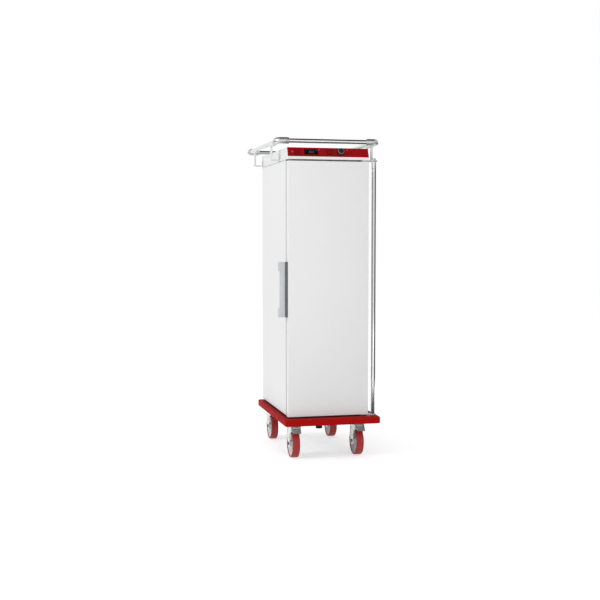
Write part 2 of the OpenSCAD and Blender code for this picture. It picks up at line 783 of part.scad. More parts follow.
// Fixed plates, one on the bumper and one under the housing, each with a cup for a bush
module bearing_brackets() color("#c6c9cd") stand() {
    difference() {
        union() {
            block(half - 10, pivot_x, -4, 34, bump_top, bump_top + bearing_t);
            translate([pivot_x, pivot_in, 0]) {
                rod(38, bump_top, bump_top + bearing_t);
                rod(bush_d + 4, bump_top - 12, bump_top + bearing_t);
            }
        }
        translate([pivot_x, pivot_in, 0]) rod(bush_d, bump_top - 10, bump_top + bearing_t + 1);
    }
    difference() {
        union() {
            block(half - 40, pivot_x, 3, 27, house_z0 - 4.5, house_z0);
            translate([pivot_x, pivot_in, 0]) {
                rod(38, house_z0 - 4.5, house_z0);
                rod(bush_d + 4, house_z0 - 4.5, house_z0 + 12);
            }
        }
        translate([pivot_x, pivot_in, 0]) rod(bush_d, house_z0 - 5, house_z0 + 10);
    }
}

// Flanged plastic bushes that the pins turn in
module pivot_bushes() color("#2a2c2f") pivot_place() {
    rod(bush_d, bump_top - 10, bump_top + bearing_t, pin_d + 2 * fit);
    rod(bush_d, house_z0 - 4.5, house_z0 + 10, pin_d + 2 * fit);
}

// ---- rail ----

module rail_tubes() color("#c8ccd0") stand() translate([0, 0, rail_z]) {
    back = elbow_leg - socket;
    for (y = [rail_front, rail_back])
        translate([0, y, 0]) difference() {
            bar_x(tube_d, back - rail_x, rail_x - back);
            bar_x(tube_d - 4, -rail_x, rail_x);
        }
    for (x = [-rail_x, rail_x])
        translate([x, rail_front + back, 0]) rotate([-90, 0, 0])
            rod(tube_d, 0, rail_back - rail_front - 2 * back, tube_d - 4);
}

// One corner fitting, its legs along +X and +Y from the corner
module elbow() {
    translate([bend_r, bend_r, 0]) rotate([0, 0, 180]) rotate_extrude(angle = 90)
        translate([bend_r, 0]) circle(d = elbow_d);
    for (leg = [0, 1]) mirror([leg, -leg, 0]) difference() {
        translate([bend_r, 0, 0]) rotate([0, 90, 0]) cylinder(d = elbow_d, h = elbow_leg - bend_r);
        translate([elbow_leg - socket, 0, 0]) rotate([0, 90, 0]) cylinder(d = tube_d, h = socket + 1);
    }
}

module rail_elbows() color("#9ea1a5") stand() translate([0, 0, rail_z]) {
    for (sx = [0, 1], sy = [0, 1])
        translate([sx ? rail_x : -rail_x, sy ? rail_back : rail_front, 0])
            mirror([sx, 0, 0]) mirror([0, sy, 0]) elbow();
}

// Bent flat bar: a saddle under the rail, a post, and an arm in to the housing
module rail_brackets() color("#e3e5e7") stand() for (b = bracket_at) {
    x = b[0] * rail_x;
    foot = b[0] * (half + 4);
    difference() {
        union() {
            block(x - bracket_t / 2, x + bracket_t / 2, b[1] - bracket_w / 2, b[1] + bracket_w / 2,
                bracket_z - bracket_t / 2, rail_z - 6);
            translate([x, b[1] + b[2] * (saddle_len / 2), 0])
                block(-11, 11, -saddle_len / 2, saddle_len / 2, rail_z - tube_d / 2 - 6, rail_z - 6);
        }
        translate([x, 0, rail_z]) rotate([-90, 0, 0]) cylinder(d = tube_d, h = cab_d + 200);
    }
    block(min(x, foot), max(x, foot), b[1] - bracket_w / 2, b[1] + bracket_w / 2,
        bracket_z - bracket_t / 2, bracket_z + bracket_t / 2);
    block(min(foot, b[0] * half), max(foot, b[0] * half), b[1] - bracket_w / 2, b[1] + bracket_w / 2,
        bracket_z - bracket_t / 2, bracket_z + 32);
}

module rail_screws() color("#9da0a4") stand() for (b = bracket_at) {
    for (y = [-8, 8])
        translate([b[0] * (half + 4), b[1] + y, bracket_z + 20]) rotate([0, b[0] * 90, 0])
            rod(9, 0, 2.5);
    for (y = [24, 76])
        translate([b[0] * rail_x, b[1] + b[2] * y, 0])
            rod(10, rail_z - tube_d / 2 - 8.5, rail_z - tube_d / 2 - 6);
}

chassis();
bumper_ring();
drain_cap();
caster_plates();
caster_screws();
fork_front_left();
fork_front_right();
fork_rear_left();
fork_rear_right();
tyre_front_left();
tyre_front_right();
tyre_rear_left();
tyre_rear_right();
wheel_front_left();
wheel_front_right();
wheel_rear_left();
wheel_rear_right();
axle_front_left();
axle_front_right();
axle_rear_left();
axle_rear_right();
brake_pedal_left();
brake_pedal_right();
outer_wrap();
back_panel();
front_frame();
insulation_boards();
inner_liner();
slide_uprights();
tray_slides();
control_housing();
control_fascia();
display_window();
circuit_board();
temperature_knob();
thermostat();
power_button();
left_key();
right_key();
indicator_lamps();
fan_motor();
fan_impeller();
heating_element();
air_duct();
power_inlet();
door_skin();
door_inner_pan();
door_insulation();
door_gasket();
handle_base();
handle_grip();
handle_screws();
pivot_tube();
hinge_arms();
bearing_brackets();
pivot_bushes();
rail_tubes();
rail_elbows();
rail_brackets();
rail_screws();
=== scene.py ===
"""Enclosed meal tray cart: a white insulated cabinet on a red bumpered caster base, with a sloping
control panel, a door hung on a full-height pivot tube and a push rail round the top.

Sizes are in millimetres from the floor, from the cabinet's middle and from the door's front face.
place() turns them into the frame's metres."""

from math import cos, radians, sin, tau

import bmesh
import bpy
from mathutils import Matrix, Vector


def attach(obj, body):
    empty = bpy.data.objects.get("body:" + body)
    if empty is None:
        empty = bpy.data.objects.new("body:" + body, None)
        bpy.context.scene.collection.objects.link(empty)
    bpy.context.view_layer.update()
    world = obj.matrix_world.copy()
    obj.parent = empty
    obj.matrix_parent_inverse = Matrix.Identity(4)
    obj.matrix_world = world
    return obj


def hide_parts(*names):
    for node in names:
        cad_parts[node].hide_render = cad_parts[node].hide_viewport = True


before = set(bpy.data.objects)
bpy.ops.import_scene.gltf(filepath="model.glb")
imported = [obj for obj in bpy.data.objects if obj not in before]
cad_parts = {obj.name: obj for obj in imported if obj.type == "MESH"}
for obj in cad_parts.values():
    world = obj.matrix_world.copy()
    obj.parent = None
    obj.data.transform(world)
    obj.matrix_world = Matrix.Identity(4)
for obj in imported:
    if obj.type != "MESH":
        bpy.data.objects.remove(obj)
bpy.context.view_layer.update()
scene = bpy.context.scene
scene.view_settings.view_transform = "Standard"


# ---- Studio: a white floor that runs into a white surround, and two soft lamps. Dark flags at the
# sides, overhead and on the floor show only in polished metal, where they draw the lines along it.


class Value:
    """One output of a shader's nodes. Arithmetic on it adds the Math nodes that work it out."""

    def __init__(self, owner, socket):
        self.owner, self.socket = owner, socket

    def maths(self, operation, first, second):
        return self.owner.node("ShaderNodeMath", {"operation": operation}, {0: first, 1: second})

    def __add__(self, other):
        return self.maths("ADD", self, other)

    def __sub__(self, other):
        return self.maths("SUBTRACT", self, other)

    def __rsub__(self, other):
        return self.maths("SUBTRACT", other, self)

    def __mul__(self, other):
        return self.maths("MULTIPLY", self, other)

    __radd__, __rmul__ = __add__, __mul__

    def ramp(self, low, high):
        """0 at low and 1 at high, eased between them, and flat beyond."""
        return self.owner.node(
            "ShaderNodeMapRange", {"interpolation_type": "SMOOTHSTEP"},
            {"Value": self, "From Min": low, "From Max": high})


class Shading:
    """The nodes of a finish or of the surround."""

    def __init__(self, tree):
        self.tree = tree

    def node(self, kind, settings, sockets, out=0):
        """A node of that kind: its settings first, then the values or links of its sockets."""
        made = self.tree.nodes.new(kind)
        for name, value in settings.items():
            setattr(made, name, value)
        for name, value in sockets.items():
            if isinstance(value, Value):
                self.tree.links.new(value.socket, made.inputs[name])
            elif isinstance(value, tuple) and len(value) == 3 and made.inputs[name].type == "RGBA":
                made.inputs[name].default_value = (*value, 1)
            else:
                made.inputs[name].default_value = value
        return Value(self, made.outputs[out])

    def seen(self):
        """1 for rays from the camera, off metal and through glass, and 0 for the light itself."""
        kinds = [self.node("ShaderNodeLightPath", {}, {}, out=f"Is {kind} Ray")
                 for kind in ("Camera", "Glossy", "Transmission")]
        return kinds[0] + kinds[1] + kinds[2]


class Finish(Shading):
    """A material on one Principled shader. What is the same all over is set on the shader's sockets."""

    def __init__(self, slot, colour=(0.8, 0.8, 0.8), **sockets):
        self.slot = slot
        self.material = bpy.data.materials.new(slot)
        self.material.use_nodes = True
        super().__init__(self.material.node_tree)
        self.shader = self.tree.nodes["Principled BSDF"]
        self.shader.inputs["Base Color"].default_value = (*colour, 1)
        for name, value in sockets.items():
            self.shader.inputs[name.replace("_", " ")].default_value = value

    def where(self, stretch=(1, 1, 1)):
        """The point on the object in metres, drawn out along the axes if a grain runs one way."""
        point = self.node("ShaderNodeTexCoord", {}, {}, out="Object")
        return self.node("ShaderNodeVectorMath", {"operation": "MULTIPLY"}, {0: point, 1: stretch})

    def noise(self, scale, detail=2.0, stretch=(1, 1, 1)):
        return self.node("ShaderNodeTexNoise", {}, {
            "Vector": self.where(stretch), "Scale": scale, "Detail": detail})

    def height(self):
        """Metres above the floor."""
        return self.node("ShaderNodeSeparateXYZ", {}, {0: self.where()}, out=2)

    def between(self, share, first, second):
        """The first colour where share is 0 and the second where it is 1."""
        return self.node("ShaderNodeMix", {"data_type": "RGBA"}, {0: share, 6: first, 7: second}, out=2)

    def feed(self, **sockets):
        for name, value in sockets.items():
            self.tree.links.new(value.socket, self.shader.inputs[name.replace("_", " ")])
        return self

    def relief(self, height, depth):
        """Raises the surface by up to depth metres where height is 1."""
        return self.feed(Normal=self.node(
            "ShaderNodeBump", {}, {"Height": height, "Distance": depth, "Strength": 1.0}))


def level(x0, x1, y0, y1, z):
    """The corners of a level rectangle, in metres."""
    return [(x0, y0, z), (x1, y0, z), (x1, y1, z), (x0, y1, z)]


def sheet_of(name, corners, finish):
    """A flat stage piece through four corners in metres."""
    mesh = bpy.data.meshes.new(name)
    mesh.from_pydata(corners, [], [(0, 1, 2, 3)])
    made = bpy.data.objects.new(name, mesh)
    made.data.materials.append(finish.material)
    scene.collection.objects.link(made)
    return made


# the floor's own light is what the camera sees, so the object's shadow stays on it as a soft grey
floor_white = Finish(
    "floor_white", (0.90, 0.90, 0.90), Roughness=0.9, Specular_IOR_Level=0.1, Emission_Strength=0.5)
floor_white.feed(Emission_Color=floor_white.between(floor_white.seen(), (0, 0, 0), (1, 1, 1)))
sheet_of("floor", level(-14, 14, -14, 14, 0), floor_white)

# the surround's strength as a light, while what sees it directly gets a full white
SKY_LIGHT = 0.55
world = bpy.data.worlds.new("studio")
scene.world = world
world.use_nodes = True
surround = Shading(world.node_tree)
backdrop = world.node_tree.nodes["Background"]
backdrop.inputs["Color"].default_value = (1, 1, 1, 1)
world.node_tree.links.new(
    (SKY_LIGHT + (1 - SKY_LIGHT) * surround.seen()).socket, backdrop.inputs["Strength"])


CART_MIDDLE = Vector((0, 0, 0.9))


def lamp(name, stand, size, power, in_metal):
    """A square soft lamp that faces the cart. Metal mirrors it only where in_metal is true."""
    light = bpy.data.lights.new(name, "AREA")
    light.shape, light.size, light.energy = "SQUARE", size, power
    holder = bpy.data.objects.new(name, light)
    holder.location = stand
    holder.rotation_euler = (CART_MIDDLE - Vector(stand)).to_track_quat("-Z", "Y").to_euler()
    holder.visible_glossy = in_metal
    scene.collection.objects.link(holder)


LEFT_POWER, FRONT_POWER = 165, 240
lamp("left_softbox", (-6.2, -1.3, 3.0), 3.0, LEFT_POWER, True)
lamp("front_softbox", (1.2, -9.0, 1.6), 4.0, FRONT_POWER, False)

FLAG_REACH, FLAG_TOP = 3.4, 1.9
flag_dark = Finish("flag_dark", (0.08, 0.08, 0.08), Roughness=1.0, Specular_IOR_Level=0.0)


def flag(name, corners):
    """A dark screen that only glossy rays meet."""
    made = sheet_of(name, corners, flag_dark)
    for ray_kind in ("camera", "diffuse", "transmission", "shadow", "volume_scatter"):
        setattr(made, "visible_" + ray_kind, False)


def round_the_side(name, start, end, count=4):
    """Upright flags in a row, along a circle about the object between two angles in degrees."""
    turns = [radians(start + (end - start) * i / count) for i in range(count + 1)]
    spots = [(FLAG_REACH * cos(t), FLAG_REACH * sin(t)) for t in turns]
    for i, (a, b) in enumerate(zip(spots, spots[1:])):
        flag(f"{name}_{i}", [(*a, 0), (*b, 0), (*b, FLAG_TOP), (*a, FLAG_TOP)])


round_the_side("flag_left", 125, 222)
round_the_side("flag_right", -59, 35)
flag("flag_overhead", level(-2.2, 2.2, -2.9, 2.4, 3.6))
flag("flag_floor", level(-1.6, 1.6, -3.0, -0.62, 0.004))

FOCAL_LENGTH, LOOKS_DOWN, LOOKS_RIGHT = 63.04, 3.306, 13.354
lens = bpy.data.cameras.new("camera")
lens.lens, lens.sensor_width = FOCAL_LENGTH, 36
camera = bpy.data.objects.new("camera", lens)
camera.location = (-1.5257, -6.15025, 1.2495)
camera.rotation_euler = (radians(90 - LOOKS_DOWN), 0, radians(-LOOKS_RIGHT))
scene.collection.objects.link(camera)
scene.camera = camera


# ---- Base: a moulded red bumper ring round a painted steel chassis box, with a flat top that reaches
# in under the cabinet, and the black screw cap of the drain below its front edge.

FOOTPRINT_MIDDLE = 423.75


def place(x, y, z):
    """A point in the frame's metres, from millimetres with y counted back from the door's face."""
    return Vector((x / 1000, (y - FOOTPRINT_MIDDLE) / 1000, z / 1000))


def piece(name, body, finish, shape, stands_for, smooth=35, edge=0.0):
    """A mesh of vertices and faces in metres, on a body, in place of some of the frame's nodes."""
    mesh = bpy.data.meshes.new(name)
    mesh.from_pydata([tuple(v) for v in shape[0]], [], shape[1])
    made = bpy.data.objects.new(name, mesh)
    scene.collection.objects.link(made)
    if edge:
        rounded(made, edge, 2, smooth)
    return dress(made, body, finish, stands_for, smooth)


def rounded(made, width, segments, angle):
    """Rounds every edge that turns by more than an angle."""
    bevel = made.modifiers.new("edges", "BEVEL")
    bevel.width, bevel.segments = width / 1000, segments
    bevel.limit_method, bevel.angle_limit = "ANGLE", radians(angle)


def dress(made, body, finish, stands_for, smooth):
    """Gives an object its finish, its body and the nodes it stands for, with soft shading below an angle."""
    shape = bmesh.new()
    shape.from_mesh(made.data)
    bmesh.ops.recalc_face_normals(shape, faces=shape.faces)
    shape.to_mesh(made.data)
    shape.free()
    made.data.materials.clear()
    made.data.materials.append(finish.material)
    made.data.shade_smooth()
    made.data.set_sharp_from_angle(angle=radians(smooth))
    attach(made, body)
    if stands_for:
        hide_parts(*stands_for)
    return made


def softened(node, body, finish, width=0.6, segments=2, angle=32):
    """A copy of one of the frame's nodes with its triangles merged into faces and its edges rounded."""
    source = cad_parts[node]
    made = bpy.data.objects.new(node + "_rounded", source.data.copy())
    scene.collection.objects.link(made)
    shape = bmesh.new()
    shape.from_mesh(made.data)
    bmesh.ops.remove_doubles(shape, verts=shape.verts, dist=2e-6)
    bmesh.ops.dissolve_limit(shape, angle_limit=radians(0.6), verts=shape.verts, edges=shape.edges)
    shape.to_mesh(made.data)
    shape.free()
    rounded(made, width, segments, angle)
    return dress(made, body, finish, [node], angle)


def arc(cx, cy, r, start, end, steps):
    """Points along part of a circle, angles in degrees."""
    turns = [radians(start + (end - start) * i / steps) for i in range(steps + 1)]
    return [(cx + r * cos(t), cy + r * sin(t)) for t in turns]


def swept(sections, closed_path=True):
    """Vertices and faces of a skin over like sections, one after the other."""
    count, across = len(sections), len(sections[0])
    vertices = [v for s in sections for v in s]
    faces = [
        (a * across + i, a * across + (i + 1) % across, b * across + (i + 1) % across, b * across + i)
        for a, b in [(k, (k + 1) % count) for k in range(count if closed_path else count - 1)]
        for i in range(across)]
    if not closed_path:
        faces += [tuple(range(across))[::-1], tuple(range((count - 1) * across, count * across))]
    return vertices, faces


def joined(*parts):
    """Several sets of vertices and faces as one."""
    vertices, faces = [], []
    for v, f in parts:
        faces += [tuple(i + len(vertices) for i in face) for face in f]
        vertices += v
    return vertices, faces


def flat_ring(outer, hole, z0, z1):
    """A flat plate with a rectangular hole: each rectangle is left, right, front, back."""
    def corners(left, right, front, back):
        return [(right, back), (left, back), (left, front), (right, front)]
    return swept([
        [place(*far, z0), place(*far, z1), place(*near, z1), place(*near, z0)]
        for far, near in zip(corners(*outer), corners(*hole))])


red_bumper = Finish("red_bumper", Specular_IOR_Level=0.006)
leather_grain = red_bumper.noise(1400, 3)
long_rubs = red_bumper.noise(60, 3, (0.25, 0.25, 1.5))
rubbed = (red_bumper.noise(9, 4, (1, 1, 3)) + long_rubs * 0.5).ramp(0.86, 1.05)
red_bumper.feed(
    Base_Color=red_bumper.between(
        rubbed * 0.3,
        red_bumper.between(red_bumper.noise(3.5, 3), (0.355, 0.005, 0.005), (0.42, 0.008, 0.007)),
        (0.46, 0.028, 0.028)),
    Roughness=0.34 + leather_grain * 0.12 + rubbed * 0.16)
red_bumper.relief(leather_grain, 0.00012)

left, right, front, back, low, top = -261.0, 294.0, -50.0, 748.0, 201.0, 241.0
corner_r, edge_r, skin, wall, shelf_z = 10.0, 7.0, 9.5, 26, 236
bumper_side = (
    [(-skin, low)] + arc(-edge_r, low + edge_r, edge_r, -90, 0, 7)
    + arc(-edge_r, top - edge_r, edge_r, 0, 90, 7) + [(-skin, top)])
bumper_skin = []
for cx, cy, start in (
        (right - corner_r, back - corner_r, 0), (left + corner_r, back - corner_r, 90),
        (left + corner_r, front + corner_r, 180), (right - corner_r, front + corner_r, 270)):
    for turn in range(start, start + 91, 9):
        bumper_skin.append([
            place(cx + (corner_r + out) * cos(radians(turn)), cy + (corner_r + out) * sin(radians(turn)), z)
            for out, z in bumper_side])
core = (left + skin, right - skin, front + skin, back - skin)
chassis_hole = (left + wall, right - wall, front + wall, back - wall)
piece("bumper", "cabinet", red_bumper,
      joined(swept(bumper_skin), flat_ring(core, chassis_hole, low, shelf_z)), ["bumper_ring"])

# the flat top is a darker copy of the bumper's red: painted shade from the cabinet over it, with a random
# drift of scuffs
red_top_painted_shade = Finish("red_bumper_top_shaded", Specular_IOR_Level=0.1)
red_top_painted_shade.slot = "red_bumper"
scuffs = red_top_painted_shade.noise(40, 4, (1, 0.3, 1)).ramp(0.45, 0.8)
red_top_painted_shade.feed(
    Base_Color=red_top_painted_shade.between(scuffs, (0.21, 0.004, 0.006), (0.26, 0.007, 0.009)),
    Roughness=0.52 + scuffs * 0.16)
red_top_painted_shade.relief(red_top_painted_shade.noise(900, 2), 0.0001)
plinth = (-218, 218, 65, 704)
piece("bumper_top", "cabinet", red_top_painted_shade, flat_ring(core, plinth, shelf_z, top - 0.1), ["bumper_ring"])

chassis_paint = Finish("chassis_steel")
paint_grain = chassis_paint.noise(700, 2)
chassis_paint.feed(
    Base_Color=chassis_paint.between(chassis_paint.noise(14, 4), (0.20, 0.205, 0.215), (0.27, 0.275, 0.285)),
    Roughness=0.42 + paint_grain * 0.2)
chassis_paint.relief(paint_grain, 0.00008)
softened("chassis", "cabinet", chassis_paint, 1.2)


def moulded(slot, dark, light, grain=900, rough=0.45, depth=0.0001, gloss=0.4):
    """Plain moulded plastic: a fine skin, and a faint drift of colour over the piece."""
    made = Finish(slot, Specular_IOR_Level=gloss)
    skin = made.noise(grain, 2)
    made.feed(
        Base_Color=made.between(made.noise(22, 3), dark, light),
        Roughness=rough + skin * 0.14 + made.noise(40, 3) * 0.06)
    return made.relief(skin, depth)


black_plastic = moulded("black_plastic", (0.012, 0.012, 0.013), (0.022, 0.022, 0.024), gloss=0.15)
softened("drain_cap", "cabinet", black_plastic, 0.8, 3)


# ---- Casters: a bolted plate with a plain swivel race, a pressed and zinc-plated fork, a light grey
# wheel centre with a red tread on a steel axle, and a foot pedal on a pin in the two front forks.


def plated(slot, dark, light, spangle=0.0, rough=0.32):
    """Plated or plain steel: a fine rolled grain and faint crystals in the plating."""
    made = Finish(slot, Metallic=1.0)
    grain = made.noise(260, 3, (1, 1, 6))
    crystals = made.node("ShaderNodeTexVoronoi", {}, {"Vector": made.where(), "Scale": 120}, out=1)
    tone = made.node("ShaderNodeSeparateColor", {}, {0: crystals})
    made.feed(
        Base_Color=made.between(tone * spangle + grain * (1 - spangle), dark, light),
        Roughness=rough + grain * 0.14 + tone * spangle * 0.12)
    return made.relief(grain, 0.00004)


zinc = plated("zinc", (0.50, 0.51, 0.53), (0.70, 0.71, 0.73), 0.35)
fork_zinc = plated("zinc", (0.80, 0.805, 0.81), (0.90, 0.905, 0.91), 0.3, 0.42)
bolt_steel = plated("bolt_steel", (0.11, 0.113, 0.12), (0.20, 0.205, 0.215), 0.1)
softened("caster_plates", "cabinet", zinc, 1.0)
softened("caster_screws", "cabinet", bolt_steel, 0.7)


def turned(profile, middle, axis, steps=96, solid=False):
    """A profile of (distance along the axis, radius) turned about an axis through a point in metres.
    A solid profile is closed by a flat end at each side, and any other one runs back to its start."""
    along = Vector(axis).normalized()
    side = along.orthogonal().normalized()
    up = along.cross(side)
    return swept([
        [middle + along * (a / 1000) + (side * cos(t) + up * sin(t)) * (r / 1000)
         for t in (tau * i / steps for i in range(steps))]
        for a, r in profile], closed_path=not solid)


def cut(made, shape):
    """Takes one shape out of a piece."""
    tool = bpy.data.objects.new("tool", bpy.data.meshes.new("tool"))
    tool.data.from_pydata([tuple(v) for v in shape[0]], [], shape[1])
    scene.collection.objects.link(tool)
    hole = made.modifiers.new("hole", "BOOLEAN")
    hole.operation, hole.solver, hole.object = "DIFFERENCE", "EXACT", tool
    bpy.context.view_layer.update()
    result = bpy.data.meshes.new_from_object(made.evaluated_get(bpy.context.evaluated_depsgraph_get()))
    made.modifiers.clear()
    made.data = result
    bpy.data.objects.remove(tool)


def prism(profile, x0, x1, middle):
    """A flat shape in the wheel's plane, as (behind the swivel axis, height), from x0 to x1."""
    return swept(
        [[middle + Vector((x / 1000, y / 1000, z / 1000)) for y, z in profile] for x in (x0, x1)],
        closed_path=False)


red_tread = Finish("red_tread", Specular_IOR_Level=0.55)
cast_skin = red_tread.noise(500, 3)
dust = red_tread.noise(35, 4).ramp(0.5, 0.8)
red_tread.feed(
    Base_Color=red_tread.between(
        dust * 0.10,
        red_tread.between(red_tread.noise(18, 3), (0.32, 0.013, 0.013), (0.38, 0.020, 0.019)),
        (0.42, 0.17, 0.16)),
    Roughness=0.40 + cast_skin * 0.12 + dust * 0.2)
red_tread.relief(cast_skin, 0.0001)

wheel_grey = moulded("wheel_alloy", (0.65, 0.645, 0.63), (0.73, 0.725, 0.71), 600, 0.4)
# the pedal's plate is painted dark grey in place of its zinc: painted shade from the bumper above it, while
# the arms keep the zinc
pedal_plate_shaded_grey = moulded("brake_pedal", (0.17, 0.173, 0.178), (0.23, 0.233, 0.238), 500, 0.4, gloss=0.25)
pedal_plate_shaded_grey.slot = "zinc"

CASTERS = dict(front_left=(-181, 68), front_right=(196, 68), rear_left=(-181, 655), rear_right=(196, 655))
trail, wheel_r, rim_r, tread_half, tread_r = 32, 80.0, 70.0, 22.0, 5.5
tread_profile = (
    [(-tread_half + 0.5, rim_r)] + arc(-tread_half + tread_r, wheel_r - tread_r, tread_r, 176, 96, 6)
    + [(-6, wheel_r - 0.05), (0, wheel_r), (6, wheel_r - 0.05)]
    + arc(tread_half - tread_r, wheel_r - tread_r, tread_r, 84, 4, 6) + [(tread_half - 0.5, rim_r)])
centre_half = [(18, 70), (18.5, 68.4), (17.6, 64.5), (16, 62.5), (10, 60), (7.2, 56), (6.5, 50), (7, 27),
               (9.5, 22), (14, 19.5), (23, 18), (24, 17), (24, 6.05)]
centre_profile = centre_half + [(-a, r) for a, r in reversed(centre_half)]
hole_count, hole_r, hole_ring = 5, 7, 35
for where, (swivel_x, swivel_y) in CASTERS.items():
    body, roller = "swivel_" + where, "roller_" + where
    softened("fork_" + where, body, fork_zinc, 1.0, 3)
    softened("axle_" + where, body, bolt_steel, 0.8)
    hub = place(swivel_x, swivel_y + trail, wheel_r)
    piece("tread_" + where, roller, red_tread,
          turned(tread_profile, hub, (1, 0, 0), 128), ["tyre_" + where], 50)
    centre = piece("centre_" + where, roller, wheel_grey,
                   turned(centre_profile, hub, (1, 0, 0)), ["wheel_" + where])
    for i in range(hole_count):
        turn = tau * i / hole_count
        out = Vector((0, cos(turn), sin(turn))) * (hole_ring / 1000)
        cut(centre, turned([(-20, hole_r), (20, hole_r)], hub + out, (1, 0, 0), 32, solid=True))
    centre.data.shade_smooth()
    centre.data.set_sharp_from_angle(angle=radians(35))

pedal_y, pedal_z = -24, 165.7
pedal_arm = [(16, -5), (14, 1), (2, 5.2), (-12, 4.4), (-31, 1), (-36, -14), (-32, -14.5), (-14, -7), (-2, -5)]
pedal_plate = [(-31, 3), (-32, -4), (-37, -15), (-34.5, -16), (-29, -5), (-28, 3)]
pedal_shoe = [(3, -3), (6, -16), (5, -20.7), (-3, -22), (-4, -19)]
plate_half, shoe_half, arm_in, arm_out = 25, 15, 20.5, 23.5
pin_half, pin_r, sleeve_half, sleeve_r = 30, 3, 23.4, 5.5
for side in ("left", "right"):
    x, y = CASTERS["front_" + side]
    pin = place(x, y + pedal_y, pedal_z)
    node = "brake_pedal_" + side
    piece("pedal_plate_" + side, "pedal_" + side, pedal_plate_shaded_grey, joined(
        prism(pedal_plate, -plate_half, plate_half, pin),
        prism(pedal_shoe, -shoe_half, shoe_half, pin)), [node], edge=0.6)
    piece("pedal_arms_" + side, "pedal_" + side, zinc, joined(
        prism(pedal_arm, -arm_out, -arm_in, pin), prism(pedal_arm, arm_in, arm_out, pin),
        turned([(-pin_half, pin_r), (pin_half, pin_r)], pin, (1, 0, 0), 32, solid=True),
        turned([(-sleeve_half, sleeve_r), (sleeve_half, sleeve_r)], pin, (1, 0, 0), 32, solid=True)),
        [node], edge=0.4)


# ---- Cabinet: foam boards between a white powder-coated outer sleeve and a stainless liner, with
# posts and pressed slides for twelve trays, and the air duct with its element and fan at the top.


def powder_coat(slot, dark, light, rough=0.26, gloss=0.45):
    """Powder coat on sheet steel: faint orange peel, a slow drift of gloss, and grime low down."""
    made = Finish(slot, Specular_IOR_Level=gloss)
    peel = made.noise(420, 2)
    drift = made.noise(3.2, 4)
    grime = (1 - made.height().ramp(0.24, 0.42)) * made.noise(28, 4).ramp(0.42, 0.75)
    made.feed(
        Base_Color=made.between(grime * 0.12, made.between(drift, dark, light), tuple(c * 0.8 for c in dark)),
        Roughness=rough + drift * 0.08 + peel * 0.05 + grime * 0.15)
    return made.relief(peel, 0.00005)


white_paint = powder_coat("white_paint", (0.806, 0.806, 0.808), (0.838, 0.838, 0.839))


def brushed(slot, dark, light, along, rough=0.28):
    """Stainless sheet with its grain along one axis, and soft handling marks."""
    made = Finish(slot, Metallic=1.0)
    lines = made.noise(900, 2, tuple(0.04 if a else 1 for a in along))
    marks = made.noise(16, 4).ramp(0.45, 0.8)
    made.feed(
        Base_Color=made.between(lines, dark, light),
        Roughness=rough + lines * 0.12 + marks * 0.08)
    return made.relief(lines, 0.00002)


stainless = brushed("stainless", (0.52, 0.53, 0.54), (0.66, 0.67, 0.68), (0, 0, 1))
# the front frame is a much darker copy of the stainless: painted shade in the gap round the door, where it
# shows
frame_steel_painted_shade = brushed("stainless", (0.16, 0.165, 0.17), (0.24, 0.245, 0.25), (1, 0, 1), 0.4)
foam = moulded("foam", (0.62, 0.52, 0.28), (0.72, 0.62, 0.36), 300, 0.8, 0.0005)
for node, finish, width in (
        ("insulation_boards", foam, 1.0), ("inner_liner", stainless, 0.5), ("slide_uprights", stainless, 0.5),
        ("tray_slides", stainless, 0.4), ("air_duct", stainless, 0.4), ("front_frame", frame_steel_painted_shade, 0.4)):
    softened(node, "cabinet", finish, width)


HALF_WIDTH, SLEEVE_LOW, SLEEVE_TOP = 235, 251, 1694
sleeve_front, sleeve_back, sheet = 53, 720, 1


def sleeve_section(inset, r, y):
    """The sleeve's rounded rectangle across the cabinet at y, by how far it lies inside the outer faces."""
    half, z0, z1 = HALF_WIDTH - inset - r, SLEEVE_LOW + inset + r, SLEEVE_TOP - inset - r
    return [place(x, y, z) for x, z in (
        arc(half, z1, r, 0, 90, 5) + arc(-half, z1, r, 90, 180, 5)
        + arc(-half, z0, r, 180, 270, 5) + arc(half, z0, r, 270, 360, 5))]


piece("outer_sleeve", "cabinet", white_paint, swept([
    sleeve_section(0, 2.5, sleeve_front), sleeve_section(0, 2.5, sleeve_back),
    sleeve_section(sheet, 1.5, sleeve_back), sleeve_section(sheet, 1.5, sleeve_front)]), ["outer_wrap"])
softened("back_panel", "cabinet", white_paint, 0.4)

element_steel = plated("element_steel", (0.10, 0.07, 0.05), (0.30, 0.20, 0.13), 0.2, 0.4)
softened("heating_element", "cabinet", element_steel, 0.3)
aluminium = plated("aluminium_cast", (0.45, 0.46, 0.47), (0.60, 0.61, 0.62), 0.2)
softened("fan_impeller", "fan", aluminium, 0.3)
motor_paint = powder_coat("dark_steel", (0.06, 0.065, 0.07), (0.08, 0.085, 0.09), 0.4)
softened("fan_motor", "cabinet", motor_paint, 1.5)


# ---- Control housing: a folded white casing that overhangs the door, with a red panel let into its
# sloping front. Behind the panel are the board, the key switches and the thermostat.

# how far the panel leans back, the heights of its edges, and its middle line, measured up its slope
LEAN, PANEL_FOOT, PANEL_TOP, MID = 21.0, 1711.0, 1762.0, 28.0
slope = Vector((0, LEAN, PANEL_TOP - PANEL_FOOT)).normalized()


def on_panel(x, s, n):
    """A point on the sloping panel: across, up the slope and out of it."""
    return place(x, s * slope.y - n * slope.z, PANEL_FOOT + s * slope.z + n * slope.y)


def panel_bar(x0, x1, s0, s1, n0, n1):
    """A bar square to the panel."""
    corners = ((x0, s0), (x1, s0), (x1, s1), (x0, s1))
    return swept([[on_panel(x, s, n) for x, s in corners] for n in (n0, n1)], closed_path=False)


def srgb(red, green, blue):
    """A colour as a screen shows it, turned into the linear values that a shader takes."""
    return tuple(((c / 255 + 0.055) / 1.055) ** 2.4 if c > 10 else c / 3294 for c in (red, green, blue))


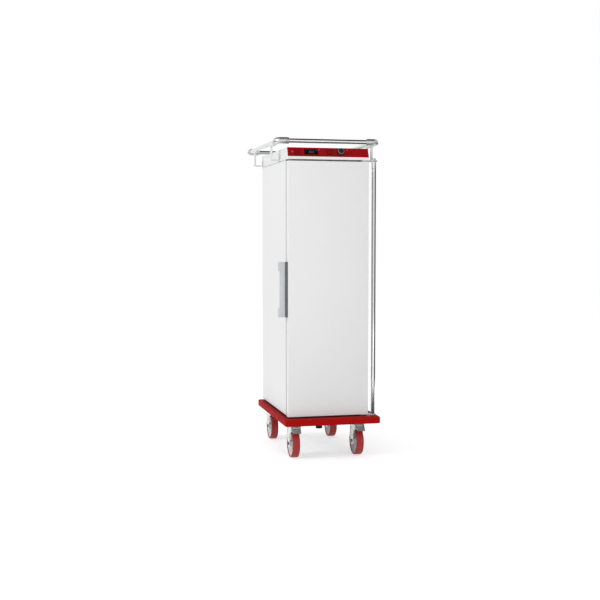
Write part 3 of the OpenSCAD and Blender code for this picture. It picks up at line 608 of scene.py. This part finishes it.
softened("control_housing", "cabinet", white_paint, 0.9, 3)
red_paint = powder_coat("red_paint", srgb(148, 10, 18), srgb(157, 14, 22), 0.3, 0.04)
softened("control_fascia", "cabinet", red_paint, 0.5, 2)
smoked = Finish("smoked_window", (0.004, 0.004, 0.005), Specular_IOR_Level=0.15)
smear = smoked.noise(30, 4).ramp(0.4, 0.8)
smoked.feed(Roughness=0.06 + smear * 0.12)
softened("display_window", "cabinet", smoked, 0.4, 3)

# plain seven-segment digits, each given by the segments that it lights: where a segment starts and
# ends across the digit, and then up it, in halves of its height
digit_grey = moulded("display_digits", srgb(88, 88, 90), srgb(100, 100, 102), 600, 0.5, gloss=0.1)
digit_grey.slot = "pale_plastic"
digit_w, digit_h, stroke, digit_back, digit_face = 6.4, 12.0, 1.8, 0.5, 0.75
SEGMENTS = dict(
    top=(0, 1, 2, 2), mid=(0, 1, 1, 1), low=(0, 1, 0, 0),
    upper_left=(0, 0, 1, 2), upper_right=(1, 1, 1, 2), lower_left=(0, 0, 0, 1), lower_right=(1, 1, 0, 1))
digits = []
for start_x, lit in (
        (-112, "top mid low upper_left lower_left lower_right"),
        (-102.6, "top mid low upper_left lower_right"),
        (-90.6, "top low upper_left upper_right lower_left lower_right")):
    for name in lit.split():
        u0, u1, v0, v1 = SEGMENTS[name]
        digits.append(panel_bar(
            start_x + u0 * digit_w - stroke / 2, start_x + u1 * digit_w + stroke / 2,
            MID + (v0 - 1) * digit_h / 2 - stroke / 2, MID + (v1 - 1) * digit_h / 2 + stroke / 2,
            digit_back, digit_face))
dots = ((-93.4, MID - digit_h / 2, 1.0), (-129, MID + 4, 1.4), (-72, MID + 9, 1.6), (-66, MID + 9, 1.6))
for x, s, r in dots:
    digits.append(panel_bar(x - r, x + r, s - r, s + r, digit_back, digit_face))
piece("display_digits", "cabinet", digit_grey, joined(*digits), [])

board_green = moulded("board_green", (0.01, 0.06, 0.02), (0.02, 0.09, 0.035), 300, 0.4)
softened("circuit_board", "cabinet", board_green, 0.2)
softened("thermostat", "cabinet", zinc, 0.8)
dark_plastic = moulded("dark_plastic", (0.012, 0.013, 0.014), (0.022, 0.024, 0.025), 700, 0.38, gloss=0.2)
softened("temperature_knob", "knob", dark_plastic, 0.7, 3)
# a light grey ring on the knob's top edge, in the knob's own dark plastic: painted highlight where that edge
# catches the light
knob_highlight_grey = moulded("knob_ring_highlight", srgb(132, 138, 128), srgb(144, 150, 140), 700, 0.35)
knob_highlight_grey.slot = "dark_plastic"
knob_x = 69
ring_profile = [(18.8, 15.3), (21.5, 15.3), (21.5, 16.4), (20.6, 17.3), (18.8, 17.3)]
piece("knob_ring_highlight", "knob", knob_highlight_grey, turned(
    ring_profile, on_panel(knob_x, MID, 0), (0, -slope.z, slope.y), 64), [])
faint_red = moulded("pale_plastic", srgb(162, 66, 60), srgb(174, 80, 74), 700, 0.36, gloss=0.2)
softened("power_button", "power_push", faint_red, 0.6, 3)
key_plastic = moulded("key_plastic", srgb(120, 12, 18), srgb(132, 16, 22), 700, 0.4, gloss=0.05)
softened("left_key", "left_push", key_plastic, 1.0, 3)
softened("right_key", "right_push", key_plastic, 1.0, 3)
# a dark outline round the foot of each key, wider at its left and lower sides, in the keys' own plastic:
# painted shade at their raised edges
key_rim_shade = moulded("key_rim_shade", srgb(52, 16, 12), srgb(66, 22, 16), 700, 0.5, gloss=0.05)
key_rim_shade.slot = "key_plastic"
hole_half_w, hole_half_h, wide, slim, rim_back, rim_face = 15.3, 13.8, 1.7, 0.85, 0.02, 0.4
for side, x in (("left", -181), ("right", 8)):
    x0, x1, s0, s1 = x - hole_half_w, x + hole_half_w, MID - hole_half_h, MID + hole_half_h
    strips = ((x0 - wide, x0, s0, s1), (x1, x1 + slim, s0, s1),
              (x0 - wide, x1 + slim, s0 - wide, s0), (x0 - wide, x1 + slim, s1, s1 + slim))
    piece("key_rim_" + side, "cabinet", key_rim_shade,
          joined(*(panel_bar(*strip, rim_back, rim_face) for strip in strips)), [])
lens_clear = moulded("lamp_lens", srgb(184, 108, 100), srgb(198, 124, 116), 900, 0.15)
softened("indicator_lamps", "cabinet", lens_clear, 0.3, 3)
softened("power_inlet", "cabinet", black_plastic, 0.8)


# ---- Door: a white outer pan on foam, with a stainless inner pan and a seal round it, and a light
# grip on a dark rail screwed to its left edge.


def slab(x0, x1, y0, y1, z0, z1, radius):
    """A plate with all its edges rounded."""
    shape = bmesh.new()
    bmesh.ops.create_cube(shape, size=1)
    size = Vector((x1 - x0, y1 - y0, z1 - z0)) / 1000
    middle = place((x0 + x1) / 2, (y0 + y1) / 2, (z0 + z1) / 2)
    bmesh.ops.transform(
        shape, matrix=Matrix.Translation(middle) @ Matrix.Diagonal((*size, 1)), verts=shape.verts)
    bmesh.ops.bevel(
        shape, geom=shape.edges, offset=radius / 1000, segments=3, profile=0.5, affect="EDGES")
    vertices = [v.co.copy() for v in shape.verts]
    faces = [tuple(v.index for v in f.verts) for f in shape.faces]
    shape.free()
    return vertices, faces


door_foot, door_top, door_depth = 248, 1687, 46
piece("door_pan", "door", white_paint,
      slab(-HALF_WIDTH, HALF_WIDTH, 0, door_depth - 0.2, door_foot, door_top, 2.2), ["door_skin"])
softened("door_inner_pan", "door", stainless, 0.5)
softened("door_insulation", "door", foam, 0.3)
seal_rubber = moulded("seal_rubber", (0.016, 0.017, 0.018), (0.028, 0.029, 0.030), 500, 0.6, 0.0002, 0.2)


def seal_corner(inset, y):
    """The four corners of the seal's line at an inset from the door's edges."""
    return [place(x, y, z) for x, z in (
        (HALF_WIDTH - inset, door_top - inset), (inset - HALF_WIDTH, door_top - inset),
        (inset - HALF_WIDTH, door_foot + inset), (HALF_WIDTH - inset, door_foot + inset))]


# the seal's section as (inset from the door's edge, depth behind its face). Its black rubber outer fin
# reaches out to 1.5 mm inside the door's edge, so that it also fills the gap round the door with painted
# shade
seal_section = [(38, 46), (38, 48), (36, 51.7), (22, 51.7), (20, 48.4), (1.5, 50.8), (1.2, 50.2), (1.5, 46)]
seal_lines = [seal_corner(inset, y) for inset, y in seal_section]
piece("door_seal", "door", seal_rubber,
      swept([[line[k] for line in seal_lines] for k in range(4)]), ["door_gasket"])

handle_dark = moulded("handle_dark", (0.125, 0.128, 0.134), (0.155, 0.158, 0.164), 800, 0.45, gloss=0.2)
softened("handle_base", "door", handle_dark, 1.5, 3)
handle_light = moulded("handle_light", (0.53, 0.54, 0.55), (0.60, 0.61, 0.62), 800, 0.42)
softened("handle_grip", "door", handle_light, 1.5, 4)
softened("handle_screws", "door", bolt_steel, 0.3)


# ---- Pivot: a polished tube beside the door, with flat arms above and below it, which turns on two
# pins in plastic bushes held by fixed bearing plates.

polished = Finish("polished_tube", Metallic=1.0)
drawn = polished.noise(500, 2, (1, 1, 0.05))
prints = polished.noise(24, 4).ramp(0.5, 0.8)
polished.feed(
    Base_Color=polished.between(drawn, (0.66, 0.665, 0.672), (0.72, 0.725, 0.732)),
    Roughness=0.07 + drawn * 0.03 + prints * 0.03)
polished.relief(drawn, 0.000001)
PIVOT_X, PIVOT_Y, tube_r, end_r = 268, 14, 12.5, 6
end_foot, tube_foot, tube_top, end_top = 232, 244.3, 1691, 1704
pivot_profile = [(end_foot, end_r), (tube_foot, end_r), (tube_foot, tube_r),
                 (tube_top, tube_r), (tube_top, end_r), (end_top, end_r)]
piece("pivot_tube", "door", polished,
      turned(pivot_profile, place(PIVOT_X, PIVOT_Y, 0), (0, 0, 1), 64, solid=True), ["pivot_tube"])
softened("hinge_arms", "door", zinc, 0.8, 3)
softened("bearing_brackets", "cabinet", zinc, 0.8, 3)
softened("pivot_bushes", "cabinet", black_plastic, 0.4)


# ---- Rail: round polished tube in four cast corner fittings, held by four bent flat brackets with a
# saddle under the tube and a foot screwed to the housing.

RAIL_X, RAIL_FRONT, RAIL_BACK, RAIL_Z = 286, 24, 879, 1799
LEG, BEND, elbow_r, tube_end, rail_steps = 60, 28, 18.5, 30, 48
rail_middle = (RAIL_FRONT + RAIL_BACK) / 2
across, along = RAIL_X - tube_end, (RAIL_BACK - RAIL_FRONT) / 2 - tube_end
bars = ((0, RAIL_FRONT, (1, 0, 0), across), (0, RAIL_BACK, (1, 0, 0), across),
        (-RAIL_X, rail_middle, (0, 1, 0), along), (RAIL_X, rail_middle, (0, 1, 0), along))
piece("rail_bars", "cabinet", polished, joined(*(
    turned([(-reach, tube_r), (reach, tube_r)], place(x, y, RAIL_Z), way, rail_steps, solid=True)
    for x, y, way, reach in bars)), ["rail_tubes"])


def elbow(corner_x, corner_y, toward_x, toward_y):
    """A corner fitting: a round bend between two legs, with a chamfered mouth at each end."""
    # (distance from the mouth, radius), out of the bore, over the chamfer and along the leg
    leg = [(3, 12.6), (0, 12.6), (0, 17.3), (0.4, 18.0), (1.4, elbow_r), (LEG - BEND - 2, elbow_r)]
    stations = [((LEG - s, 0), (0, -1), r) for s, r in leg]
    for turn in (radians(7.5 * k) for k in range(13)):
        bent = (BEND - BEND * sin(turn), BEND - BEND * cos(turn))
        stations.append((bent, (-sin(turn), -cos(turn)), elbow_r))
    stations += [((0, LEG - s), (-1, 0), r) for s, r in reversed(leg)]
    corner, up = place(corner_x, corner_y, RAIL_Z), Vector((0, 0, 1))
    sections = []
    for centre, out, r in stations:
        middle = Vector((centre[0] * toward_x, centre[1] * toward_y, 0))
        side = Vector((out[0] * toward_x, out[1] * toward_y, 0))
        sections.append([
            corner + (middle + (side * cos(t) + up * sin(t)) * r) / 1000
            for t in (tau * i / rail_steps for i in range(rail_steps))])
    return swept(sections, closed_path=False)


elbow_alloy = Finish("elbow_alloy", Metallic=1.0)
cast_grain = elbow_alloy.noise(650, 3)
elbow_alloy.feed(
    Base_Color=elbow_alloy.between(elbow_alloy.noise(40, 3), (0.64, 0.645, 0.652), (0.70, 0.705, 0.712)),
    Roughness=0.40 + cast_grain * 0.1)
elbow_alloy.relief(cast_grain, 0.00002)
piece("rail_corners", "cabinet", elbow_alloy, joined(
    elbow(-RAIL_X, RAIL_FRONT, 1, 1), elbow(RAIL_X, RAIL_FRONT, -1, 1),
    elbow(-RAIL_X, RAIL_BACK, 1, -1), elbow(RAIL_X, RAIL_BACK, -1, -1)), ["rail_elbows"])
bracket_paint = powder_coat("bracket_paint", (0.74, 0.75, 0.76), (0.79, 0.80, 0.81), 0.3)
softened("rail_brackets", "cabinet", bracket_paint, 1.0, 3)
softened("rail_screws", "cabinet", bracket_paint, 0.6, 3)
